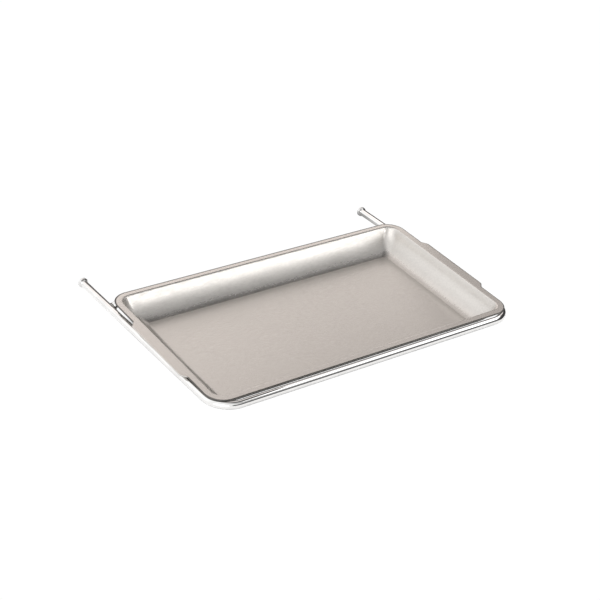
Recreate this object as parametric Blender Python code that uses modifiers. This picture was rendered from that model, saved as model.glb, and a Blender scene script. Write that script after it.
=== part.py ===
"""Shallow pressed tray resting in a U-shaped round-rod carrier with a rear cross rod and stop buttons.

Metres, +Z up. X runs along the carrier's front bar, Y from the front bar to the leg ends.
The carrier is level. The tray is tipped slightly forward, because its back rim lies on the
raised cross rod while its front corners lie on the carrier's bends.
"""
import math

import bmesh
import bpy
from mathutils import Matrix, Vector

MM = 0.001
COLLECTION_NAME = "tray_with_rod_carrier"
CUTTER_COLLECTION_NAME = "cutters"

# Carrier rod
ROD_R = 3.0 * MM
CARRIER_HALF_W = 137.5 * MM       # leg axis from the centre plane
LEG_LENGTH = 197.5 * MM           # front bar axis to the cut end of a leg
BEND_R = 19.0 * MM                # centre line radius of the two front bends
BEND_STEPS = 8
ROD_CURVE_RESOLUTION = 4

# Stop buttons in the leg ends
STOP_HEAD_R = 4.05 * MM
STOP_HEAD_T = 2.0 * MM
STOP_EDGE = 0.4 * MM
SPIGOT_R = 1.5 * MM
SPIGOT_LENGTH = 6.0 * MM
SPIGOT_CLEARANCE = 0.05 * MM
SPIGOT_END_CLEARANCE = 0.3 * MM
STOP_SEAT_GAP = 0.1 * MM
STOP_STEPS = 24

# Rear cross rod, its ends bent down to the inner shoulders of the legs
CROSS_ROD_Y = 154.1 * MM          # from the front bar axis
CROSS_ROD_RISE = 6.2 * MM         # straight part above the leg axes
CROSS_ROD_BEND = math.radians(33.0)
CROSS_ROD_BEND_R = 12.0 * MM
CROSS_ROD_BEND_STEPS = 4
WELD_GAP = 0.2 * MM

# Tray sheet
SHEET_T = 0.8 * MM
TRAY_HALF_W = 139.0 * MM
TRAY_FRONT_Y = 2.4 * MM           # front rim edge, behind the front bar axis
TRAY_BACK_Y = 157.0 * MM          # back rim edge
FLANGE_FLAT = 5.1 * MM
LIP_R = 1.5 * MM                  # inside radius from flange to wall
WALL_DRAFT = math.radians(22.0)   # wall angle from upright
FLOOR_R = 22.0 * MM               # inside radius of the lower wall
FLOOR_CREASE = math.radians(16.0) # angle at which the lower wall meets the flat floor
PAN_DEPTH = 18.0 * MM             # flange top to floor top
CORNER_R = 15.0 * MM              # rim corner seen from above
LIP_INSET = 5.5 * MM              # inset over which the corner radius shrinks one to one
CORNER_SHRINK = 0.3               # corner radius lost per unit inset below the lip
CORNER_STEPS = 6
LIP_STEPS = 3
FLOOR_STEPS = 6

# Ears on the short sides of the rim
EAR_OUT = 3.6 * MM
EAR_FRONT_Y = 39.5 * MM
EAR_BACK_Y = 117.5 * MM
EAR_END_RUN = 4.6 * MM
EAR_ROOT_R = 2.5 * MM
EAR_TIP_R = 3.5 * MM
EAR_STEPS = 3

# Where the tray lies on the carrier
REST_GAP = 0.2 * MM
FRONT_REST_Y = 4.0 * MM

PITCH = math.atan2(CROSS_ROD_RISE, CROSS_ROD_Y - FRONT_REST_Y)
OVERALL_LENGTH = ROD_R + LEG_LENGTH + STOP_SEAT_GAP + STOP_HEAD_T
FRONT_AXIS_Y = ROD_R - OVERALL_LENGTH / 2
WALL_TURN = math.pi / 2 - WALL_DRAFT
WALL_STRAIGHT = (PAN_DEPTH - LIP_R * (1 - math.cos(WALL_TURN))
                 - FLOOR_R * (math.cos(FLOOR_CREASE) - math.cos(WALL_TURN)))
WALL_RUN = (FLANGE_FLAT + LIP_R * math.sin(WALL_TURN) + WALL_STRAIGHT * math.tan(WALL_DRAFT)
            + FLOOR_R * (math.sin(WALL_TURN) - math.sin(FLOOR_CREASE)))
FLOOR_FRONT_Y = TRAY_FRONT_Y + WALL_RUN
CARRIER_Z = (PAN_DEPTH * math.cos(PITCH) - (FLOOR_FRONT_Y - FRONT_REST_Y) * math.sin(PITCH)
             - ROD_R - REST_GAP)

POLISHED_STEEL = ("polished_rod_steel", (0.80, 0.80, 0.81, 1.0), 0.10)
BRUSHED_STEEL = ("brushed_pan_steel", (0.66, 0.64, 0.62, 1.0), 0.32)
STOP_STEEL = ("stop_button_steel", (0.74, 0.74, 0.75, 1.0), 0.18)


def clear_scene():
    for obj in list(bpy.data.objects):
        bpy.data.objects.remove(obj, do_unlink=True)


def make_collection(name):
    collection = bpy.data.collections.new(name)
    bpy.context.scene.collection.children.link(collection)
    return collection


def make_material(spec):
    name, colour, roughness = spec
    material = bpy.data.materials.new(name)
    material.use_nodes = True
    shader = material.node_tree.nodes["Principled BSDF"]
    shader.inputs["Base Color"].default_value = colour
    shader.inputs["Roughness"].default_value = roughness
    shader.inputs["Metallic"].default_value = 1.0
    return material


def add_object(name, mesh, collection, material=None):
    obj = bpy.data.objects.new(name, mesh)
    collection.objects.link(obj)
    if material:
        mesh.materials.append(material)
        mesh.shade_smooth()
    return obj


def rounded_path(points, radii, steps):
    """Round each inner corner of an open 2-D path with an arc."""
    path = [Vector(points[0])]
    for index in range(1, len(points) - 1):
        corner = Vector(points[index])
        to_last = (Vector(points[index - 1]) - corner).normalized()
        to_next = (Vector(points[index + 1]) - corner).normalized()
        half_angle = to_last.angle(to_next) / 2
        radius = radii[index - 1]
        centre = corner + (to_last + to_next).normalized() * radius / math.sin(half_angle)
        start = (corner + to_last * radius / math.tan(half_angle) - centre).normalized()
        end = (corner + to_next * radius / math.tan(half_angle) - centre).normalized()
        for step in range(steps + 1):
            path.append(centre + start.slerp(end, step / steps) * radius)
    path.append(Vector(points[-1]))
    return path


def ear_outline():
    """Ear profile as (outward offset, distance behind the front bar axis)."""
    corners = [(0, EAR_FRONT_Y - 2 * EAR_ROOT_R), (0, EAR_FRONT_Y), (EAR_OUT, EAR_FRONT_Y + EAR_END_RUN),
               (EAR_OUT, EAR_BACK_Y - EAR_END_RUN), (0, EAR_BACK_Y), (0, EAR_BACK_Y + 2 * EAR_ROOT_R)]
    return rounded_path(corners, [EAR_ROOT_R, EAR_TIP_R, EAR_TIP_R, EAR_ROOT_R], EAR_STEPS)


def pan_profile():
    """Inset from the rim edge and drop below the flange top, from rim to floor."""
    profile = [(0.0, 0.0)]
    for step in range(LIP_STEPS + 1):
        angle = WALL_TURN * step / LIP_STEPS
        profile.append((FLANGE_FLAT + LIP_R * math.sin(angle), LIP_R * (1 - math.cos(angle))))
    for step in range(FLOOR_STEPS + 1):
        angle = WALL_TURN + (FLOOR_CREASE - WALL_TURN) * step / FLOOR_STEPS
        profile.append((WALL_RUN - FLOOR_R * (math.sin(angle) - math.sin(FLOOR_CREASE)),
                        PAN_DEPTH - FLOOR_R * (math.cos(FLOOR_CREASE) - math.cos(angle))))
    return profile


def corner_radius(inset):
    if inset <= LIP_INSET:
        return CORNER_R - inset
    return CORNER_R - LIP_INSET - CORNER_SHRINK * (inset - LIP_INSET)


def pan_ring(inset, drop, outline):
    """One closed level of the pan, counter-clockwise from the front right corner."""
    radius = corner_radius(inset)
    half_w = TRAY_HALF_W - inset
    front = TRAY_FRONT_Y + inset
    back = TRAY_BACK_Y - inset
    at_rim = inset == 0.0
    side = [(half_w + (out if at_rim else 0.0), y) for out, y in outline]

    def corner(x, y, start):
        angles = [start + math.pi / 2 * step / CORNER_STEPS for step in range(CORNER_STEPS + 1)]
        return [(x + radius * math.cos(a), y + radius * math.sin(a)) for a in angles]

    ring = corner(half_w - radius, front + radius, -math.pi / 2)
    ring += side
    ring += corner(half_w - radius, back - radius, 0.0)
    ring += corner(-half_w + radius, back - radius, math.pi / 2)
    ring += [(-x, y) for x, y in reversed(side)]
    ring += corner(-half_w + radius, front + radius, math.pi)
    return [(x, y - FRONT_REST_Y, SHEET_T - drop) for x, y in ring]


def build_tray(collection, material):
    bm = bmesh.new()
    outline = [tuple(point) for point in ear_outline()]
    rings = [[bm.verts.new(co) for co in pan_ring(inset, drop, outline)] for inset, drop in pan_profile()]
    count = len(rings[0])
    for upper, lower in zip(rings, rings[1:]):
        for index in range(count):
            following = (index + 1) % count
            bm.faces.new((upper[index], upper[following], lower[following], lower[index]))
    bm.faces.new(rings[-1])
    bmesh.ops.remove_doubles(bm, verts=bm.verts, dist=0.001 * MM)
    bmesh.ops.recalc_face_normals(bm, faces=bm.faces)
    floor = max(bm.faces, key=lambda face: face.calc_area())
    if floor.normal.z < 0:
        bmesh.ops.reverse_faces(bm, faces=bm.faces)
    mesh = bpy.data.meshes.new("tray_pan")
    bm.to_mesh(mesh)
    bm.free()
    tray = add_object("tray_pan", mesh, collection, material)
    tray.location = (0.0, FRONT_AXIS_Y + FRONT_REST_Y, CARRIER_Z + ROD_R + REST_GAP)
    tray.rotation_euler = (PITCH, 0.0, 0.0)
    sheet = tray.modifiers.new("sheet", "SOLIDIFY")
    sheet.thickness = SHEET_T
    sheet.offset = -1.0
    sheet.use_even_offset = True
    return tray


def carrier_path():
    """Centre line of the U-shaped rod from one leg end to the other."""
    corners = [(-CARRIER_HALF_W, LEG_LENGTH), (-CARRIER_HALF_W, 0), (CARRIER_HALF_W, 0), (CARRIER_HALF_W, LEG_LENGTH)]
    path = rounded_path(corners, [BEND_R, BEND_R], BEND_STEPS)
    return [(x, y + FRONT_AXIS_Y, CARRIER_Z) for x, y in path]


def cross_rod_path():
    """Centre line of the cross rod, raised between its two bent-down ends."""
    end_distance = ROD_R + WELD_GAP
    end_x = CARRIER_HALF_W - end_distance * math.cos(CROSS_ROD_BEND)
    end_z = end_distance * math.sin(CROSS_ROD_BEND)
    corner_x = CARRIER_HALF_W - CROSS_ROD_RISE / math.tan(CROSS_ROD_BEND)
    corners = [(-end_x, end_z), (-corner_x, CROSS_ROD_RISE), (corner_x, CROSS_ROD_RISE), (end_x, end_z)]
    path = rounded_path(corners, [CROSS_ROD_BEND_R, CROSS_ROD_BEND_R], CROSS_ROD_BEND_STEPS)
    return [(x, FRONT_AXIS_Y + CROSS_ROD_Y, CARRIER_Z + z) for x, z in path]


def build_rod(name, path, collection, material):
    """Solid round rod with flat ends along a centre line."""
    curve = bpy.data.curves.new(name + "_path", "CURVE")
    curve.dimensions = "3D"
    curve.bevel_depth = ROD_R
    curve.bevel_resolution = ROD_CURVE_RESOLUTION
    curve.use_fill_caps = True
    spline = curve.splines.new("POLY")
    spline.points.add(len(path) - 1)
    for point, position in zip(spline.points, path):
        point.co = (*position, 1.0)
    curve_object = bpy.data.objects.new(name + "_path", curve)
    collection.objects.link(curve_object)
    bpy.context.view_layer.update()

    depsgraph = bpy.context.evaluated_depsgraph_get()
    mesh = bpy.data.meshes.new_from_object(curve_object.evaluated_get(depsgraph))
    mesh.transform(curve_object.matrix_world)
    bpy.data.objects.remove(curve_object, do_unlink=True)
    bm = bmesh.new()
    bm.from_mesh(mesh)
    bmesh.ops.remove_doubles(bm, verts=bm.verts, dist=0.001 * MM)
    bmesh.ops.recalc_face_normals(bm, faces=bm.faces)
    bm.to_mesh(mesh)
    bm.free()
    mesh.materials.clear()
    return add_object(name, mesh, collection, material)


def bore_leg_end(rod, side, collection):
    """Blind bore in a leg end for the stop button's spigot."""
    depth = SPIGOT_LENGTH + SPIGOT_END_CLEARANCE
    reach = 2 * depth
    bm = bmesh.new()
    bmesh.ops.create_cone(bm, cap_ends=True, segments=STOP_STEPS, radius1=SPIGOT_R + SPIGOT_CLEARANCE,
                          radius2=SPIGOT_R + SPIGOT_CLEARANCE, depth=reach)
    bmesh.ops.rotate(bm, verts=bm.verts, matrix=Matrix.Rotation(math.pi / 2, 3, "X"))
    mesh = bpy.data.meshes.new(side + "_bore_cutter")
    bm.to_mesh(mesh)
    bm.free()
    cutter = add_object(side + "_bore_cutter", mesh, collection)
    end_x = CARRIER_HALF_W if side == "right" else -CARRIER_HALF_W
    cutter.location = (end_x, FRONT_AXIS_Y + LEG_LENGTH - depth + reach / 2, CARRIER_Z)
    cutter.hide_render = True
    cutter.display_type = "WIRE"
    cut = rod.modifiers.new(side + "_bore", "BOOLEAN")
    cut.operation = "DIFFERENCE"
    cut.solver = "EXACT"
    cut.object = cutter


def build_stop(side, collection, material):
    """Headed button: the head closes the leg end and the spigot sits in its bore."""
    outline = [(0.0, STOP_HEAD_T), (STOP_HEAD_R - STOP_EDGE, STOP_HEAD_T), (STOP_HEAD_R, STOP_HEAD_T - STOP_EDGE),
               (STOP_HEAD_R, 0.0), (SPIGOT_R, 0.0), (SPIGOT_R, -SPIGOT_LENGTH), (0.0, -SPIGOT_LENGTH)]
    bm = bmesh.new()
    verts = [bm.verts.new((radius, 0.0, height)) for radius, height in outline]
    for first, second in zip(verts, verts[1:]):
        bm.edges.new((first, second))
    name = side + "_stop_button"
    mesh = bpy.data.meshes.new(name)
    bm.to_mesh(mesh)
    bm.free()
    stop = add_object(name, mesh, collection, material)
    turn = stop.modifiers.new("turn", "SCREW")
    turn.steps = STOP_STEPS
    turn.render_steps = STOP_STEPS
    turn.use_merge_vertices = True
    turn.merge_threshold = 0.01 * MM
    end_x = CARRIER_HALF_W if side == "right" else -CARRIER_HALF_W
    stop.location = (end_x, FRONT_AXIS_Y + LEG_LENGTH + STOP_SEAT_GAP, CARRIER_Z)
    stop.rotation_euler = (-math.pi / 2, 0.0, 0.0)
    return stop


def main():
    clear_scene()
    parts = make_collection(COLLECTION_NAME)
    cutters = make_collection(CUTTER_COLLECTION_NAME)
    polished = make_material(POLISHED_STEEL)
    brushed = make_material(BRUSHED_STEEL)
    stop_steel = make_material(STOP_STEEL)
    build_tray(parts, brushed)
    rod = build_rod("carrier_rod", carrier_path(), parts, polished)
    build_rod("cross_rod", cross_rod_path(), parts, polished)
    for side in ("left", "right"):
        bore_leg_end(rod, side, cutters)
        build_stop(side, parts, stop_steel)


main()
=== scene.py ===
"""Looks of the shallow brushed-steel tray in its polished rod carrier. Metres, +Z up, in the CAD frame."""
import math

import bmesh
import bpy
from mathutils import Matrix, Vector


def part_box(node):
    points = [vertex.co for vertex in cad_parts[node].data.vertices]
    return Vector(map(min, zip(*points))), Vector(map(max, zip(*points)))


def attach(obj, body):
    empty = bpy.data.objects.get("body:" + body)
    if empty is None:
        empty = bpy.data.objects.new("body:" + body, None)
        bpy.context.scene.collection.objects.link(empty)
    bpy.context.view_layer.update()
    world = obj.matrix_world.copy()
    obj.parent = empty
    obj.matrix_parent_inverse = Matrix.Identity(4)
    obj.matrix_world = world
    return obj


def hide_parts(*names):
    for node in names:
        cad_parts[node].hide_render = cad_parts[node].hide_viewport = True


MM = 0.001
TAU = 2 * math.pi

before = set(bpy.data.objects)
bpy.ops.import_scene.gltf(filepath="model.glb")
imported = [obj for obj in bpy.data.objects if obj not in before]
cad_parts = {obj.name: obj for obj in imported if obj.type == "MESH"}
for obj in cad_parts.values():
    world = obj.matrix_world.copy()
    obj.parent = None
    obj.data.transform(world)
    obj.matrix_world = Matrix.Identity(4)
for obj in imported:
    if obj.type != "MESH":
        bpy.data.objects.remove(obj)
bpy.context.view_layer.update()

# ---------------------------------------------------------------- sizes from the frame
carrier_low, carrier_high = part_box("carrier_rod")
cross_low, cross_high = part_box("cross_rod")
button_low, button_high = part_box("right_stop_button")

ROD_R = (carrier_high.z - carrier_low.z) / 2
CARRIER_Z = (carrier_high.z + carrier_low.z) / 2
AXIS_Y = carrier_low.y + ROD_R              # front bar axis
LEG_X = carrier_high.x - ROD_R              # leg axes
LEG_END_Y = carrier_high.y
BEND_R = 19.0 * MM

CROSS_Y = (cross_high.y + cross_low.y) / 2
CROSS_Z = cross_high.z - ROD_R
CROSS_RISE = CROSS_Z - CARRIER_Z
CROSS_BEND = math.radians(33.0)
CROSS_BEND_R = 12.0 * MM
WELD_GAP = 0.2 * MM

BUTTON_R = (button_high.x - button_low.x) / 2
SPIGOT_R = 1.5 * MM
SPIGOT_LENGTH = 6.0 * MM
BORE_R = 1.55 * MM
BORE_DEPTH = 6.3 * MM
BUTTON_SEAT_Y = LEG_END_Y + 0.1 * MM
BUTTON_T = button_high.y - BUTTON_SEAT_Y

# Tray sheet, measured in its own tipped frame from a point behind the front bar axis
SHEET_T = 0.8 * MM
TRAY_HALF_W = 139.0 * MM
TRAY_FRONT = 2.4 * MM
TRAY_BACK = 157.0 * MM
FLANGE_FLAT = 5.1 * MM                  # flat width of the rim, up to the lip that turns down into the wall
FLANGE_INNER = FLANGE_FLAT - 0.3 * MM   # inset from which the rim's outline ignores the ear
LIP_R = 1.5 * MM
EDGE_RUN = 1.1 * MM                     # rounding of the rim's upper edge
EDGE_DROP = 0.5 * MM
EDGE_LEAN = 0.12 * MM                   # how far the cut edge leans in toward its underside
BACK_EDGE_DROP = 0.33 * MM
CROWN_DROP = 0.42 * MM                  # along the back the rim also falls away over its whole width
WALL_DRAFT = math.radians(22.0)
FLOOR_R = 22.0 * MM
FLOOR_CREASE = math.radians(16.0)       # angle at which the wall's radius meets the flat floor
PAN_DEPTH = 18.0 * MM
CREASE_DEPTH = PAN_DEPTH - 0.03 * MM
FLOOR_EDGE_RUNS = (0.2 * MM, 1.0 * MM)  # levels just inside the crease that keep its shading tight
FLOOR_BORDER = 0.03                     # share of the way to the middle at which the floor's last level lies
CORNER_R = 15.0 * MM
LIP_INSET = 5.5 * MM                    # inset from which the corner radius shrinks more slowly
CORNER_SHRINK = 0.3
EAR_OUT = 3.6 * MM
EAR_FRONT = 39.5 * MM
EAR_BACK = 117.5 * MM
EAR_END_RUN = 4.6 * MM
EAR_ROOT_R = 2.5 * MM
EAR_TIP_R = 3.5 * MM
EAR_FADE = 0.5 * MM                     # the painted shade along the rim's edge ends over this distance at the root of an ear
REST_GAP = 0.2 * MM
FRONT_REST = 4.0 * MM
PITCH = math.atan2(CROSS_RISE, CROSS_Y - AXIS_Y - FRONT_REST)
WALL_TURN = math.pi / 2 - WALL_DRAFT
# Height of the wall's straight part, and the inset at which the wall meets the floor
WALL_STRAIGHT = (PAN_DEPTH - LIP_R * (1 - math.cos(WALL_TURN))
                 - FLOOR_R * (math.cos(FLOOR_CREASE) - math.cos(WALL_TURN)))
WALL_RUN = (FLANGE_FLAT + LIP_R * math.sin(WALL_TURN) + WALL_STRAIGHT * math.tan(WALL_DRAFT)
            + FLOOR_R * (math.sin(WALL_TURN) - math.sin(FLOOR_CREASE)))

ROD_CHAMFER = 0.35 * MM
BEAD_R = 0.22 * MM                      # least radius of the weld bead, beyond half the gap it fills
BUTTON_EDGE_R = 0.4 * MM
GROOVES = 9                             # turning marks on the button's face
GROOVE_DIP = 0.012 * MM
FACE_DISH = 0.05 * MM

# Steps into which the curved parts are divided
EDGE_STEPS = 6
RIM_STEPS = 6
LIP_STEPS = 8
WALL_STEPS = 30
CORNER_STEPS = 20
EAR_STEPS = 8
CARRIER_BEND_STEPS = 28
CROSS_BEND_STEPS = 12
ROD_END_STEPS = 4
BUTTON_EDGE_STEPS = 6
GROOVE_STEPS = 4
BEAD_LENGTH_STEPS = 72
BEAD_ROUND_STEPS = 14
SEGMENTS = 48                           # around a rod or a button

RIM_SHADE = "painted_rim_shade"                      # mesh attribute that holds painted_rim_shade(), the share of painted shade along the rim's edge


# ---------------------------------------------------------------- small helpers
def link(name, mesh):
    obj = bpy.data.objects.new(name, mesh)
    bpy.context.scene.collection.objects.link(obj)
    return obj


def mesh_from(bm, name):
    bmesh.ops.remove_doubles(bm, verts=bm.verts, dist=0.002 * MM)
    bmesh.ops.recalc_face_normals(bm, faces=bm.faces)
    mesh = bpy.data.meshes.new(name)
    bm.to_mesh(mesh)
    bm.free()
    mesh.shade_smooth()
    return mesh


def finish_piece(obj, body, node, material):
    obj.data.materials.append(material)
    if node:
        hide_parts(node)
    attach(obj, body)


def rounded_path(points, radii, steps):
    """Round each inner corner of an open path with an arc."""
    path = [Vector(points[0])]
    for index in range(1, len(points) - 1):
        corner = Vector(points[index])
        to_last = (Vector(points[index - 1]) - corner).normalized()
        to_next = (Vector(points[index + 1]) - corner).normalized()
        half_angle = to_last.angle(to_next) / 2
        radius = radii[index - 1]
        centre = corner + (to_last + to_next).normalized() * radius / math.sin(half_angle)
        start = (corner + to_last * radius / math.tan(half_angle) - centre).normalized()
        end = (corner + to_next * radius / math.tan(half_angle) - centre).normalized()
        for step in range(steps + 1):
            path.append(centre + start.slerp(end, step / steps) * radius)
    path.append(Vector(points[-1]))
    return path


def bridge(bm, first, second):
    count = len(first)
    for index in range(count):
        following = (index + 1) % count
        bm.faces.new((first[index], first[following], second[following], second[index]))


# ---------------------------------------------------------------- tray
def ear_outline():
    corners = [(0, EAR_FRONT - 2 * EAR_ROOT_R), (0, EAR_FRONT), (EAR_OUT, EAR_FRONT + EAR_END_RUN),
               (EAR_OUT, EAR_BACK - EAR_END_RUN), (0, EAR_BACK), (0, EAR_BACK + 2 * EAR_ROOT_R)]
    return rounded_path(corners, [EAR_ROOT_R, EAR_TIP_R, EAR_TIP_R, EAR_ROOT_R], EAR_STEPS)


def profile_points():
    """Upper face from rim to floor as (inset, drop, tilt), the tilt being 0 where the face is level."""
    points = [(EDGE_RUN * step / EDGE_STEPS, 0.0, 0.0) for step in range(EDGE_STEPS + 1)]
    for step in range(1, RIM_STEPS + 1):
        points.append((EDGE_RUN + (FLANGE_INNER - EDGE_RUN) * step / RIM_STEPS, 0.0, 0.0))
    for step in range(LIP_STEPS + 1):
        angle = WALL_TURN * step / LIP_STEPS
        points.append((FLANGE_FLAT + LIP_R * math.sin(angle), LIP_R * (1 - math.cos(angle)), angle))
    for step in range(WALL_STEPS + 1):
        angle = WALL_TURN + (FLOOR_CREASE - WALL_TURN) * step / WALL_STEPS
        points.append((WALL_RUN - FLOOR_R * (math.sin(angle) - math.sin(FLOOR_CREASE)),
                       CREASE_DEPTH - FLOOR_R * (math.cos(FLOOR_CREASE) - math.cos(angle)), angle))
    points += [(WALL_RUN + run, PAN_DEPTH, 0.0) for run in FLOOR_EDGE_RUNS]
    return points


def rim_drop(inset, y):
    """How far the rim's upper face falls below its level: rounded at its edge, and crowned at the back."""
    edge = max(0.0, 1 - inset / EDGE_RUN) ** 2
    rounded = EDGE_DROP * edge
    crowned = BACK_EDGE_DROP * edge + CROWN_DROP * max(0.0, 1 - inset / FLANGE_FLAT) ** 2
    share = min(1.0, max(0.0, (y - (TRAY_BACK - CORNER_R)) / (CORNER_R - inset)))
    return rounded + (crowned - rounded) * share


def painted_rim_shade(inset, x, y):
    """How much painted shade darkens the rim near its cut edge at a point, from 0 to 1: wider along the back,
    none on the ears.
    """
    share = min(1.0, max(0.0, (y - (TRAY_BACK - CORNER_R)) / CORNER_R))
    run = EDGE_RUN + share * EDGE_RUN
    on_ear = min(1.0, max(0.0, (abs(x) - (TRAY_HALF_W - inset)) / EAR_FADE))
    return max(0.0, 1 - inset / run) ** 0.5 * (1 - on_ear)


def corner_radius(inset):
    if inset <= LIP_INSET:
        return CORNER_R - inset
    return CORNER_R - LIP_INSET - CORNER_SHRINK * (inset - LIP_INSET)


def ear_share(inset):
    """How much of the ear's outline a level of the flange still follows."""
    share = (inset - EDGE_RUN) / (FLANGE_INNER - EDGE_RUN)
    return 1.0 - min(1.0, max(0.0, share))


def pan_ring(bm, inset, drop, radius, outline, shaped=False):
    """One closed level of the pan, counter-clockwise from the front right corner."""
    half_w = TRAY_HALF_W - inset
    front = TRAY_FRONT + inset
    back = TRAY_BACK - inset
    ear = ear_share(inset)
    side = [(half_w + out * ear, y) for out, y in outline]

    def corner(x, y, start):
        angles = [start + math.pi / 2 * step / CORNER_STEPS for step in range(CORNER_STEPS + 1)]
        return [(x + radius * math.cos(a), y + radius * math.sin(a)) for a in angles]

    ring = corner(half_w - radius, front + radius, -math.pi / 2)
    ring += side
    ring += corner(half_w - radius, back - radius, 0.0)
    ring += corner(-half_w + radius, back - radius, math.pi / 2)
    ring += [(-x, y) for x, y in reversed(side)]
    ring += corner(-half_w + radius, front + radius, math.pi)
    verts = []
    # this layer holds the share of painted shade along the rim's edge
    wear = bm.verts.layers.float.get(RIM_SHADE) or bm.verts.layers.float.new(RIM_SHADE)
    for x, y in ring:
        shape = rim_drop(inset, y) if shaped else 0.0
        verts.append(bm.verts.new((x, y - FRONT_REST, SHEET_T - drop - shape)))
        verts[-1][wear] = painted_rim_shade(inset, x, y)
    return verts


def close_floor(bm, edge_ring):
    """Close the flat floor from its edge with one more level and a single flat face."""
    middle_y = (TRAY_FRONT + TRAY_BACK) / 2 - FRONT_REST
    ring = []
    for vert in edge_ring:
        middle = Vector((0.0, middle_y, vert.co.z))
        ring.append(bm.verts.new(vert.co.lerp(middle, FLOOR_BORDER)))
    bridge(bm, edge_ring, ring)
    bm.faces.new(ring)


def build_pan():
    """Closed sheet: the upper face, the lower one SHEET_T away along its normal, and the cut edge."""
    bm = bmesh.new()
    outline = [tuple(point) for point in ear_outline()]
    upper = []
    lower = []
    for inset, drop, tilt in profile_points():
        radius = corner_radius(inset)
        upper.append(pan_ring(bm, inset, drop, radius, outline, inset < FLANGE_FLAT))
        if inset < EDGE_RUN:
            continue
        under_inset = inset - SHEET_T * math.sin(tilt)
        under_drop = drop + SHEET_T * math.cos(tilt)
        lower.append(pan_ring(bm, under_inset, under_drop, radius + inset - under_inset, outline))
    edge_bottom = pan_ring(bm, EDGE_LEAN, SHEET_T, corner_radius(EDGE_LEAN), outline)
    lower = [edge_bottom] + lower
    for rings in (upper, lower, [upper[0], lower[0]]):
        for first, second in zip(rings, rings[1:]):
            bridge(bm, first, second)
    close_floor(bm, upper[-1])
    close_floor(bm, lower[-1])
    mesh = mesh_from(bm, "pan_sheet")
    pan = link("pan_sheet", mesh)
    place = Matrix.Translation((0.0, AXIS_Y + FRONT_REST, CARRIER_Z + ROD_R + REST_GAP))
    mesh.transform(place @ Matrix.Rotation(PITCH, 4, "X"))
    return pan


# ---------------------------------------------------------------- rods
def section(centre, side, lift, radius):
    return [centre + (side * math.cos(TAU * i / SEGMENTS) + lift * math.sin(TAU * i / SEGMENTS)) * radius
            for i in range(SEGMENTS)]


def rod_mesh(name, path, plane_normal, bored):
    """Round rod along a plane path, with softened end edges and, if bored, a blind bore in each end."""
    bm = bmesh.new()
    rings = []
    directions = []
    for index, point in enumerate(path):
        before = path[max(index - 1, 0)]
        after = path[min(index + 1, len(path) - 1)]
        directions.append((after - before).normalized())
    body_path = list(path)
    body_path[0] = path[0] + directions[0] * ROD_CHAMFER
    body_path[-1] = path[-1] - directions[-1] * ROD_CHAMFER
    for point, direction in zip(body_path, directions):
        side = direction.cross(plane_normal).normalized()
        rings.append([bm.verts.new(co) for co in section(point, side, plane_normal, ROD_R)])
    for first, second in zip(rings, rings[1:]):
        bridge(bm, first, second)
    ends = ((path[0], -directions[0], rings[0]), (path[-1], directions[-1], rings[-1]))
    for end, direction, ring in ends:
        side = direction.cross(plane_normal).normalized()
        if (ring[0].co - end).dot(side) < 0:
            side = -side
        last = ring
        levels = []
        for step in range(1, ROD_END_STEPS + 1):
            angle = math.pi / 2 * step / ROD_END_STEPS
            levels.append((ROD_R - ROD_CHAMFER * (1 - math.cos(angle)), -ROD_CHAMFER * (1 - math.sin(angle))))
        if bored:
            levels += [(BORE_R, 0.0), (BORE_R, -BORE_DEPTH), (0.5 * BORE_R, -BORE_DEPTH)]
        else:
            levels += [(ROD_R * 0.5, 0.0)]
        for radius, depth in levels:
            centre = end + direction * depth
            ring_now = [bm.verts.new(co) for co in section(centre, side, plane_normal, radius)]
            bridge(bm, last, ring_now)
            last = ring_now
        bm.faces.new(last)
    return mesh_from(bm, name)


def build_carrier():
    corners = [(-LEG_X, LEG_END_Y, CARRIER_Z), (-LEG_X, AXIS_Y, CARRIER_Z),
               (LEG_X, AXIS_Y, CARRIER_Z), (LEG_X, LEG_END_Y, CARRIER_Z)]
    path = rounded_path(corners, [BEND_R, BEND_R], CARRIER_BEND_STEPS)
    return link("carrier_round_rod", rod_mesh("carrier_round_rod", path, Vector((0, 0, 1)), True))


def build_cross():
    end_distance = ROD_R + WELD_GAP
    end_x = LEG_X - end_distance * math.cos(CROSS_BEND)
    end_z = end_distance * math.sin(CROSS_BEND)
    corner_x = LEG_X - CROSS_RISE / math.tan(CROSS_BEND)
    corners = [(-end_x, CROSS_Y, CARRIER_Z + end_z), (-corner_x, CROSS_Y, CROSS_Z),
               (corner_x, CROSS_Y, CROSS_Z), (end_x, CROSS_Y, CARRIER_Z + end_z)]
    path = rounded_path(corners, [CROSS_BEND_R, CROSS_BEND_R], CROSS_BEND_STEPS)
    return link("cross_round_rod", rod_mesh("cross_round_rod", path, Vector((0, 1, 0)), False))


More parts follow.
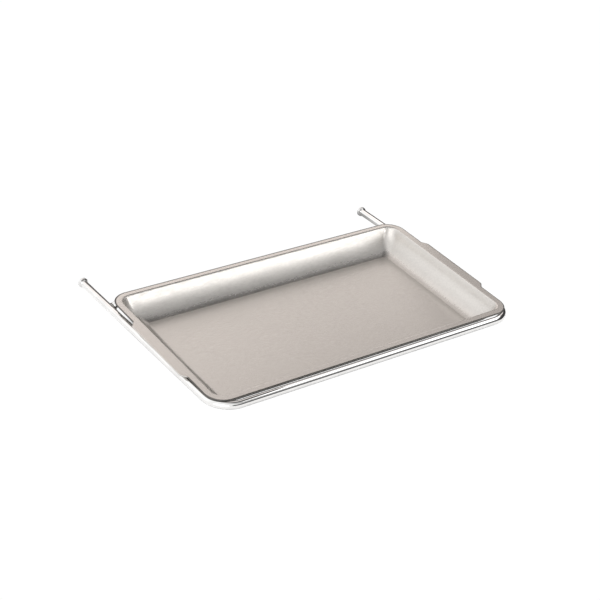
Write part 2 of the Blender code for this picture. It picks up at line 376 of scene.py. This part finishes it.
def build_weld(side):
    """Small fillet bead around a cross rod end, between it and the leg."""
    sign = 1.0 if side == "right" else -1.0
    axis = Vector((sign * LEG_X, CROSS_Y, CARRIER_Z))
    outward = Vector((sign * math.cos(CROSS_BEND), 0.0, -math.sin(CROSS_BEND)))
    across = Vector((0, 1, 0))
    up = Vector((sign * math.sin(CROSS_BEND), 0.0, math.cos(CROSS_BEND)))
    centres = []
    radii = []
    for index in range(BEAD_LENGTH_STEPS):
        angle = TAU * index / BEAD_LENGTH_STEPS
        around_rod = across * math.cos(angle) + up * math.sin(angle)
        on_rod = axis - outward * (ROD_R + WELD_GAP) + around_rod * ROD_R
        radial = Vector((on_rod.x - axis.x, 0.0, on_rod.z - axis.z))
        on_leg = axis + radial.normalized() * ROD_R + Vector((0.0, on_rod.y - axis.y, 0.0))
        ripple = 1.0 + 0.10 * math.sin(angle * 14) + 0.05 * math.sin(angle * 5 + 1.0)
        centres.append((on_rod + on_leg) / 2)
        radii.append(((on_rod - on_leg).length / 2 + BEAD_R) * ripple)
    bm = bmesh.new()
    rings = []
    for index in range(BEAD_LENGTH_STEPS):
        following = (index + 1) % BEAD_LENGTH_STEPS
        tangent = (centres[following] - centres[index - 1]).normalized()
        first = (centres[index] - axis).normalized()
        first = (first - tangent * first.dot(tangent)).normalized()
        second = tangent.cross(first)
        ring = []
        for k in range(BEAD_ROUND_STEPS):
            turn = TAU * k / BEAD_ROUND_STEPS
            radial = first * math.cos(turn) + second * math.sin(turn)
            ring.append(bm.verts.new(centres[index] + radial * radii[index]))
        rings.append(ring)
    for index in range(BEAD_LENGTH_STEPS):
        bridge(bm, rings[index], rings[(index + 1) % BEAD_LENGTH_STEPS])
    name = side + "_weld_bead"
    return link(name, mesh_from(bm, name))


def build_button(side):
    """Turned stop button: spigot, flat head with softened edges and a shallow turned face."""
    outline = [(0.0, -SPIGOT_LENGTH), (SPIGOT_R - 0.3 * MM, -SPIGOT_LENGTH),
               (SPIGOT_R, -SPIGOT_LENGTH + 0.3 * MM), (SPIGOT_R, 0.0)]
    outline += [(BUTTON_R - 0.25 * MM, 0.0), (BUTTON_R - 0.07 * MM, 0.07 * MM), (BUTTON_R, 0.25 * MM)]
    for step in range(BUTTON_EDGE_STEPS + 1):
        angle = math.pi / 2 * step / BUTTON_EDGE_STEPS
        outline.append((BUTTON_R - BUTTON_EDGE_R * (1 - math.cos(angle)),
                        BUTTON_T - BUTTON_EDGE_R * (1 - math.sin(angle))))
    face_r = BUTTON_R - BUTTON_EDGE_R
    for step in range(1, GROOVES * GROOVE_STEPS):
        share = step / (GROOVES * GROOVE_STEPS)
        dip = GROOVE_DIP * (1 - math.cos(TAU * share * GROOVES)) + FACE_DISH * share
        outline.append((face_r * (1 - share), BUTTON_T - dip))
    outline.append((0.0, BUTTON_T - FACE_DISH))
    sign = 1.0 if side == "right" else -1.0
    bm = bmesh.new()
    rings = []
    for radius, along in outline:
        y = BUTTON_SEAT_Y + along
        if radius == 0.0:
            rings.append([bm.verts.new((sign * LEG_X, y, CARRIER_Z))])
        else:
            rings.append([bm.verts.new((sign * LEG_X + radius * math.cos(TAU * i / SEGMENTS), y,
                                        CARRIER_Z + radius * math.sin(TAU * i / SEGMENTS)))
                          for i in range(SEGMENTS)])
    for first, second in zip(rings, rings[1:]):
        if len(first) == 1 or len(second) == 1:
            tip, ring = (first[0], second) if len(first) == 1 else (second[0], first)
            for i in range(SEGMENTS):
                bm.faces.new((tip, ring[i], ring[(i + 1) % SEGMENTS]))
        else:
            bridge(bm, first, second)
    name = side + "_turned_button"
    return link(name, mesh_from(bm, name))


# ---------------------------------------------------------------- materials
PAN_DARK = (0.618, 0.594, 0.566)
PAN_LIGHT = (0.680, 0.654, 0.623)
PAN_ROUGH = 0.25
SPECKLE_ROUGH = 0.008           # how far the speckle and the cloudy wear move the pan's roughness either way
CLOUD_ROUGH = 0.015
WALL_ROUGHER = 0.13             # the drawn walls are duller than the floor
PAN_ANISOTROPY = 0.85
CLOUD_SCALE = 30.0              # noise scales, in waves per metre
SPECKLE_SCALE = 800.0
SCRATCH_SCALE = 1300.0
DRAWING_SCALE = 1400.0
HAZE_SCALE = 60.0
MOTTLE_SCALE = 900.0
CLOUD_SHARE = 0.45              # the rest of the pan's tone is the speckle's
ROD_DARK = (0.80, 0.795, 0.785)
ROD_LIGHT = (0.88, 0.875, 0.865)
CARRIER_ROUGH = 0.03
CROSS_ROUGH = 0.04
BUTTON_DARK = (0.66, 0.655, 0.65)
BUTTON_LIGHT = (0.78, 0.775, 0.77)
BUTTON_ROUGH = 0.15
BEAD_DARK = (0.15, 0.14, 0.13)
BEAD_LIGHT = (0.42, 0.40, 0.38)


class Nodes:
    """Short-hand for building a material's node tree."""

    def __init__(self, tree):
        self.tree = tree

    def add(self, kind, **settings):
        node = self.tree.nodes.new(kind)
        for key, value in settings.items():
            setattr(node, key, value)
        return node

    def wire(self, source, target):
        self.tree.links.new(source, target)

    def math(self, operation, first, second):
        node = self.add("ShaderNodeMath", operation=operation)
        for socket, value in zip(node.inputs, (first, second)):
            if isinstance(value, (int, float)):
                socket.default_value = value
            else:
                self.wire(value, socket)
        return node.outputs[0]

    def noise(self, vector, scale, detail=2.0, stretch=(1, 1, 1), roughness=0.5):
        mapping = self.add("ShaderNodeMapping")
        mapping.inputs["Scale"].default_value = stretch
        self.wire(vector, mapping.inputs["Vector"])
        node = self.add("ShaderNodeTexNoise")
        node.inputs["Scale"].default_value = scale
        node.inputs["Detail"].default_value = detail
        node.inputs["Roughness"].default_value = roughness
        self.wire(mapping.outputs["Vector"], node.inputs["Vector"])
        return node.outputs["Fac"]

    def facing(self, vector, way):
        """Dot product of a vector socket with a fixed direction."""
        node = self.add("ShaderNodeVectorMath", operation="DOT_PRODUCT")
        self.wire(vector, node.inputs[0])
        node.inputs[1].default_value = way
        return node.outputs["Value"]

    def ramp(self, value, low, high, to_low, to_high):
        node = self.add("ShaderNodeMapRange")
        node.interpolation_type = "SMOOTHSTEP"
        node.inputs["From Min"].default_value = low
        node.inputs["From Max"].default_value = high
        node.inputs["To Min"].default_value = to_low
        node.inputs["To Max"].default_value = to_high
        self.wire(value, node.inputs["Value"])
        return node.outputs["Result"]


def new_material(name):
    material = bpy.data.materials.new(name)
    material.use_nodes = True
    tree = material.node_tree
    shader = tree.nodes["Principled BSDF"]
    shader.inputs["Metallic"].default_value = 1.0
    return material, Nodes(tree), shader


def tinted(nodes, value, low, high):
    mix = nodes.add("ShaderNodeMix", data_type="RGBA")
    mix.inputs["A"].default_value = (*low, 1.0)
    mix.inputs["B"].default_value = (*high, 1.0)
    nodes.wire(value, mix.inputs["Factor"])
    return mix.outputs["Result"]


def brushed_steel():
    """Satin sheet brushed along X, with faint cloudy wear, duller scratched walls, and painted shade on the
    cut edge, the rim's outer edge and the sheet's underside.
    """
    material, nodes, shader = new_material("brushed_pan_steel")
    where = nodes.add("ShaderNodeTexCoord").outputs["Object"]
    cloud = nodes.noise(where, CLOUD_SCALE, 4.0, (0.7, 1.0, 1.0), 0.6)
    speckle = nodes.noise(where, SPECKLE_SCALE, 2.0, (0.35, 1.0, 1.0), 0.7)
    tone = nodes.math("ADD", nodes.math("MULTIPLY", speckle, 1.0 - CLOUD_SHARE),
                      nodes.math("MULTIPLY", cloud, CLOUD_SHARE))
    colour = tinted(nodes, nodes.ramp(tone, 0.38, 0.62, 0.0, 1.0), PAN_DARK, PAN_LIGHT)
    rough = nodes.math("ADD",
                       nodes.ramp(speckle, 0.3, 0.7, PAN_ROUGH - SPECKLE_ROUGH, PAN_ROUGH + SPECKLE_ROUGH),
                       nodes.ramp(cloud, 0.3, 0.7, -CLOUD_ROUGH, CLOUD_ROUGH))
    # 1 where the sheet faces straight up in its own tipped frame, 0 on an upright face, negative underneath
    normal = nodes.add("ShaderNodeTexCoord").outputs["Normal"]
    upright = nodes.facing(normal, (0.0, -math.sin(PITCH), math.cos(PITCH)))
    drawn = nodes.ramp(upright, 0.70, 0.97, WALL_ROUGHER, 0.0)
    scratches = nodes.noise(where, SCRATCH_SCALE, 2.0, (0.12, 1.0, 1.0), 0.6)
    drawn = nodes.math("MULTIPLY", drawn, nodes.ramp(scratches, 0.35, 0.65, 0.6, 1.4))
    nodes.wire(nodes.math("ADD", rough, drawn), shader.inputs["Roughness"])
    # Painted shade: the cut edge and the sheet's underside are darkened, and so is the rim's top near its
    # outer edge, most along the back.
    edge_and_underside_shade = nodes.math("ADD", nodes.ramp(upright, 0.15, 0.33, 0.15, 1.0),
                         nodes.ramp(upright, -0.9, -0.2, 0.75, 0.0))
    rim_shade_node = nodes.add("ShaderNodeAttribute", attribute_name=RIM_SHADE)
    rim_edge_shade = nodes.ramp(rim_shade_node.outputs["Fac"], 0.1, 0.7, 1.0, 0.22)
    edge_and_underside_shade = nodes.math("MULTIPLY", edge_and_underside_shade, rim_edge_shade)
    painted_shade_tint = nodes.add("ShaderNodeMix", data_type="RGBA", blend_type="MULTIPLY")
    painted_shade_tint.inputs["Factor"].default_value = 1.0
    nodes.wire(colour, painted_shade_tint.inputs["A"])
    nodes.wire(edge_and_underside_shade, painted_shade_tint.inputs["B"])
    nodes.wire(painted_shade_tint.outputs["Result"], shader.inputs["Base Color"])
    shader.inputs["Anisotropic"].default_value = PAN_ANISOTROPY
    shader.inputs["Anisotropic Rotation"].default_value = 0.25
    grain = nodes.add("ShaderNodeCombineXYZ")
    grain.inputs["X"].default_value = 1.0
    nodes.wire(grain.outputs["Vector"], shader.inputs["Tangent"])
    return material


def polished_steel(name, low, high, roughness, along_y):
    """Bright drawn rod: faint drawing lines along its length and light handling haze."""
    material, nodes, shader = new_material(name)
    where = nodes.add("ShaderNodeTexCoord").outputs["Object"]
    stretch = (1.0, 0.02, 1.0) if along_y else (0.02, 1.0, 1.0)
    lines = nodes.noise(where, DRAWING_SCALE, 2.0, stretch, 0.6)
    haze = nodes.noise(where, HAZE_SCALE, 3.0)
    colour = tinted(nodes, nodes.ramp(haze, 0.3, 0.7, 0.0, 1.0), low, high)
    nodes.wire(colour, shader.inputs["Base Color"])
    rough = nodes.math("ADD", nodes.ramp(lines, 0.3, 0.7, roughness - 0.02, roughness + 0.02),
                       nodes.ramp(haze, 0.4, 0.75, 0.0, 0.03))
    nodes.wire(rough, shader.inputs["Roughness"])
    bump = nodes.add("ShaderNodeBump")
    bump.inputs["Strength"].default_value = 0.05
    bump.inputs["Distance"].default_value = 0.02 * MM
    nodes.wire(lines, bump.inputs["Height"])
    nodes.wire(bump.outputs["Normal"], shader.inputs["Normal"])
    return material


def weld_steel():
    """Brushed-off weld bead with a faint straw tint."""
    material, nodes, shader = new_material("weld_bead_steel")
    where = nodes.add("ShaderNodeTexCoord").outputs["Object"]
    mottled = nodes.noise(where, MOTTLE_SCALE, 3.0)
    nodes.wire(tinted(nodes, mottled, BEAD_DARK, BEAD_LIGHT), shader.inputs["Base Color"])
    nodes.wire(nodes.ramp(mottled, 0.3, 0.7, 0.22, 0.42), shader.inputs["Roughness"])
    bump = nodes.add("ShaderNodeBump")
    bump.inputs["Strength"].default_value = 0.2
    bump.inputs["Distance"].default_value = 0.05 * MM
    nodes.wire(mottled, bump.inputs["Height"])
    nodes.wire(bump.outputs["Normal"], shader.inputs["Normal"])
    return material


# ---------------------------------------------------------------- stage
FLOOR_HALF = 3.0
FLOOR_DROP = 0.6 * MM
# The floor's colour in reflections holds painted shade, darker beyond the object and under the tray; to the
# camera it holds a painted shadow under the tray.
FAR_WAY = (50.0, 0.0)           # azimuth and elevation toward the floor beyond the object, which is
FAR_START = 0.12                # darker in reflections from the first of these distances to the second
FAR_END = 0.20
COVER_HEIGHT = 50 * MM          # how far up the floor looks for something that covers it
COVERED = 0.22                  # ambient occlusion values taken as fully covered and as open
OPEN = 0.52
UNDER_TRAY_Y = 7 * MM           # middle of the floor under the tray
UNDER_TRAY = (LEG_X - 2 * MM, -AXIS_Y + 2 * MM)     # half size of the shaded floor, in reflections
SEEN_UNDER_TRAY = (LEG_X - 20 * MM, 63 * MM)        # and as the camera sees it
FADE_BESIDE = 8 * MM
FADE_BEYOND = 12 * MM
# FLOOR_LIFT is a painted glow of the floor in reflections; SEEN_DARK is the darkness of the painted shadow
# that the camera sees.
FLOOR_LIFT = 0.35
SEEN_DARK = 0.03
SEEN_WHITE = 1.02


def uncovered(nodes, open_sky, across, along, half_size):
    """1 on open floor, 0 where the tray lies close above it, within a rectangle under the tray: the mask of
    the painted shadow there.
    """
    half_width, half_length = half_size
    beside = nodes.ramp(across, half_width, half_width + FADE_BESIDE, 0.0, 1.0)
    beyond = nodes.ramp(along, half_length, half_length + FADE_BEYOND, 0.0, 1.0)
    return nodes.math("MAXIMUM", open_sky, nodes.math("MAXIMUM", beside, beyond))


def build_floor():
    """Pale floor: white to the camera but for a painted shadow under the tray; for the steel that reflects
    it, painted shade beyond the object and under the tray, and a faint painted glow.
    """
    bm = bmesh.new()
    bmesh.ops.create_grid(bm, x_segments=1, y_segments=1, size=FLOOR_HALF)
    mesh = bpy.data.meshes.new("floor")
    bm.to_mesh(mesh)
    bm.free()
    floor = link("floor", mesh)
    floor.location.z = -FLOOR_DROP
    material = bpy.data.materials.new("pale_floor")
    material.use_nodes = True
    nodes = Nodes(material.node_tree)
    material.node_tree.nodes.clear()
    paper = nodes.add("ShaderNodeBsdfDiffuse")
    where = nodes.add("ShaderNodeNewGeometry").outputs["Position"]
    # Painted shade in reflections: the floor darkens beyond the object.
    shade = nodes.ramp(nodes.facing(where, direction(*FAR_WAY)), FAR_START, FAR_END, 0.9, 0.10)
    hidden = nodes.add("ShaderNodeAmbientOcclusion", samples=12)
    hidden.inputs["Distance"].default_value = COVER_HEIGHT
    open_sky = nodes.ramp(hidden.outputs["AO"], COVERED, OPEN, 0.0, 1.0)
    axes = nodes.add("ShaderNodeSeparateXYZ")
    nodes.wire(where, axes.inputs[0])
    across = nodes.math("ABSOLUTE", axes.outputs["X"], 0.0)
    along = nodes.math("ABSOLUTE", nodes.math("SUBTRACT", axes.outputs["Y"], UNDER_TRAY_Y), 0.0)
    # Painted shade in reflections under the tray.
    shade = nodes.math("MULTIPLY", shade, uncovered(nodes, open_sky, across, along, UNDER_TRAY))
    nodes.wire(shade, paper.inputs["Color"])
    # Painted glow added to the floor in reflections.
    lift = nodes.add("ShaderNodeEmission")
    nodes.wire(nodes.math("MULTIPLY", shade, FLOOR_LIFT), lift.inputs["Strength"])
    lit_paper = nodes.add("ShaderNodeAddShader")
    nodes.wire(paper.outputs[0], lit_paper.inputs[0])
    nodes.wire(lift.outputs[0], lit_paper.inputs[1])
    # To the camera the floor glows white, with a painted shadow under the tray.
    glow = nodes.add("ShaderNodeEmission")
    glow.inputs["Color"].default_value = (*WHITE, 1.0)
    seen = uncovered(nodes, open_sky, across, along, SEEN_UNDER_TRAY)
    nodes.wire(nodes.ramp(seen, 0.0, 1.0, SEEN_DARK, SEEN_WHITE), glow.inputs["Strength"])
    path = nodes.add("ShaderNodeLightPath")
    mix = nodes.add("ShaderNodeMixShader")
    out = nodes.add("ShaderNodeOutputMaterial")
    nodes.wire(path.outputs["Is Camera Ray"], mix.inputs[0])
    nodes.wire(lit_paper.outputs[0], mix.inputs[1])
    nodes.wire(glow.outputs[0], mix.inputs[2])
    nodes.wire(mix.outputs[0], out.inputs["Surface"])
    mesh.materials.append(material)


# Soft lights and dark gaps of the studio as (azimuth, elevation, half angle, softness, strength), in degrees.
# Azimuth 0 is along +Y and 90 along +X. A dark gap has a negative strength.
WHITE = (1.0, 1.0, 1.0)
WARM = (1.0, 0.94, 0.91)
STUDIO_BASE = 1.0
STUDIO = [
    (-129.0, 14.0, 22.0, 10.0, 1.4),
    (-60.0, 5.0, 28.0, 20.0, 0.15),
    (-20.0, 50.0, 35.0, 18.0, 0.15),
    (108.0, 52.0, 31.0, 13.0, -0.48),
    (24.0, 37.0, 10.0, 8.0, 0.4),
    (42.0, 62.0, 20.0, 9.0, -0.6),
]
STUDIO_LEAST = 0.05
# Dark room around the softboxes: lowest and highest angle, the azimuth it is centred on, the half angle it
# spans, and the share of the light that is left in it
DARK_BANDS = [
    (8.0, 34.0, 145.0, 45.0, 0.12),
    (-90.0, 29.0, 55.0, 55.0, 0.15),
    (-90.0, 38.0, 92.0, 35.0, 0.12),
]
BAND_ELEVATION = 10.0
BAND_SOFTNESS = 1.0
BAND_END_SOFTNESS = 5.0
WARM_WAY = (30.0, 30.0)         # azimuth and elevation of the studio's warmest light
# Softboxes as (azimuth, elevation, distance, length, width, radiance, colour), for the rods or for the pan
ROD_SOFTBOX = (98.0, 52.0, 1.0, 0.85, 0.45, 1.5, WHITE)
PAN_SOFTBOXES = {
    "pan_softbox": (147.0, 9.0, 1.0, 0.80, 0.36, 4.3, WHITE),
    "pan_low_softbox": (27.0, 20.5, 1.0, 0.69, 0.30, 1.15, WARM),
    "pan_side_softbox": (105.0, 24.0, 1.0, 0.85, 0.55, 0.7, WHITE),
    "pan_front_softbox": (193.0, 27.0, 1.0, 0.8, 0.45, 0.6, WHITE),
}


def direction(azimuth, elevation):
    a = math.radians(azimuth)
    e = math.radians(elevation)
    return Vector((math.sin(a) * math.cos(e), math.cos(a) * math.cos(e), math.sin(e)))


def cosine(degrees):
    return math.cos(math.radians(degrees))


def height_at(degrees):
    """Height of a direction of length 1 at an elevation, straight down at the lowest."""
    return math.sin(math.radians(max(-90.0, degrees)))


def build_studio():
    """Soft world light: wide caps over an even base, cut by dark bands."""
    world = bpy.data.worlds.new("studio")
    bpy.context.scene.world = world
    world.use_nodes = True
    nodes = Nodes(world.node_tree)
    world.node_tree.nodes.clear()
    where = nodes.add("ShaderNodeTexCoord").outputs["Generated"]
    total = STUDIO_BASE
    for azimuth, elevation, half_angle, softness, strength in STUDIO:
        glow = nodes.ramp(nodes.facing(where, direction(azimuth, elevation)), cosine(half_angle + softness),
                          cosine(half_angle - softness), 0.0, strength)
        total = nodes.math("ADD", glow, total)
    height = nodes.add("ShaderNodeSeparateXYZ")
    nodes.wire(where, height.inputs[0])
    for low, high, azimuth, half_angle, left in DARK_BANDS:
        under = nodes.ramp(height.outputs["Z"], height_at(low - BAND_SOFTNESS),
                           height_at(low + BAND_SOFTNESS), 1.0, 0.0)
        over = nodes.ramp(height.outputs["Z"], height_at(high - BAND_SOFTNESS),
                          height_at(high + BAND_SOFTNESS), 0.0, 1.0)
        aside = nodes.ramp(nodes.facing(where, direction(azimuth, BAND_ELEVATION)),
                           cosine(half_angle + BAND_END_SOFTNESS), cosine(half_angle - BAND_END_SOFTNESS),
                           1.0, 0.0)
        lit = nodes.math("MINIMUM", nodes.math("ADD", nodes.math("ADD", under, over), aside), 1.0)
        total = nodes.math("MULTIPLY", total, nodes.ramp(lit, 0.0, 1.0, left, 1.0))
    total = nodes.math("MAXIMUM", total, STUDIO_LEAST)
    background = nodes.add("ShaderNodeBackground")
    warmth = nodes.ramp(nodes.facing(where, direction(*WARM_WAY)), 0.6, 0.95, 0.0, 1.0)
    tint = tinted(nodes, warmth, WHITE, WARM)
    nodes.wire(tint, background.inputs["Color"])
    nodes.wire(total, background.inputs["Strength"])
    out = nodes.add("ShaderNodeOutputWorld")
    nodes.wire(background.outputs[0], out.inputs["Surface"])


def placed(right, up, back, place):
    return Matrix(((right.x, up.x, back.x, place.x), (right.y, up.y, back.y, place.y),
                   (right.z, up.z, back.z, place.z), (0.0, 0.0, 0.0, 1.0)))


def build_softbox(name, placing, receivers):
    """Area light aimed at the origin that lights only its receivers."""
    azimuth, elevation, distance, length, width, radiance, colour = placing
    data = bpy.data.lights.new(name, "AREA")
    data.shape = "RECTANGLE"
    data.color = colour
    data.size = length
    data.size_y = width
    data.energy = radiance * math.pi * length * width
    lamp = bpy.data.objects.new(name, data)
    bpy.context.scene.collection.objects.link(lamp)
    back = direction(azimuth, elevation)
    right = Vector((0, 0, 1)).cross(back).normalized()
    up = back.cross(right)
    place = back * distance
    lamp.matrix_world = placed(right, up, back, place)
    lamp.visible_camera = False
    group = bpy.data.collections.new(name + "_receivers")
    for obj in receivers:
        group.objects.link(obj)
    lamp.light_linking.receiver_collection = group


# Camera's place around the front bar's middle, from in front of and above it, in degrees and metres
CAMERA_ANGLES = (-37.722, 30.373, 5.254)    # azimuth from straight in front, elevation, roll
CAMERA_DISTANCE = 1079.4 * MM
CAMERA_SHIFT_RIGHT = -55.78 * MM
CAMERA_SHIFT_UP = 44.37 * MM
CAMERA_SENSOR = 36.0
CAMERA_LENS = 87.30


def build_camera():
    azimuth, elevation, roll = (math.radians(angle) for angle in CAMERA_ANGLES)
    back = Vector((math.sin(azimuth) * math.cos(elevation), -math.cos(azimuth) * math.cos(elevation),
                   math.sin(elevation)))
    level_right = Vector((0, 0, 1)).cross(back).normalized()
    level_up = back.cross(level_right)
    right = level_right * math.cos(roll) + level_up * math.sin(roll)
    up = level_up * math.cos(roll) - level_right * math.sin(roll)
    data = bpy.data.cameras.new("camera")
    data.sensor_width = CAMERA_SENSOR
    data.lens = CAMERA_LENS
    data.clip_start = 0.01
    data.clip_end = 20.0
    camera = bpy.data.objects.new("camera", data)
    bpy.context.scene.collection.objects.link(camera)
    place = (Vector((0.0, AXIS_Y, CARRIER_Z)) + back * CAMERA_DISTANCE
             + right * CAMERA_SHIFT_RIGHT + up * CAMERA_SHIFT_UP)
    camera.matrix_world = placed(right, up, back, place)
    bpy.context.scene.camera = camera


# ---------------------------------------------------------------- assemble
pan_steel = brushed_steel()
rod_steel = polished_steel("polished_carrier_steel", ROD_DARK, ROD_LIGHT, CARRIER_ROUGH, True)
cross_steel = polished_steel("polished_cross_steel", ROD_DARK, ROD_LIGHT, CROSS_ROUGH, False)
button_steel = polished_steel("turned_button_steel", BUTTON_DARK, BUTTON_LIGHT, BUTTON_ROUGH, True)
bead_steel = weld_steel()

pan = build_pan()
finish_piece(pan, "tray", "tray_pan", pan_steel)
rod_parts = [build_carrier(), build_cross()]
finish_piece(rod_parts[0], "carrier", "carrier_rod", rod_steel)
finish_piece(rod_parts[1], "carrier", "cross_rod", cross_steel)
for side in ("left", "right"):
    button = build_button(side)
    bead = build_weld(side)
    finish_piece(button, "carrier", side + "_stop_button", button_steel)
    finish_piece(bead, "carrier", None, bead_steel)
    rod_parts += [button, bead]

build_floor()
build_studio()
build_softbox("rod_softbox", ROD_SOFTBOX, rod_parts)
for softbox, placing in PAN_SOFTBOXES.items():
    build_softbox(softbox, placing, [pan])
build_camera()
bpy.context.scene.view_settings.view_transform = "Standard"
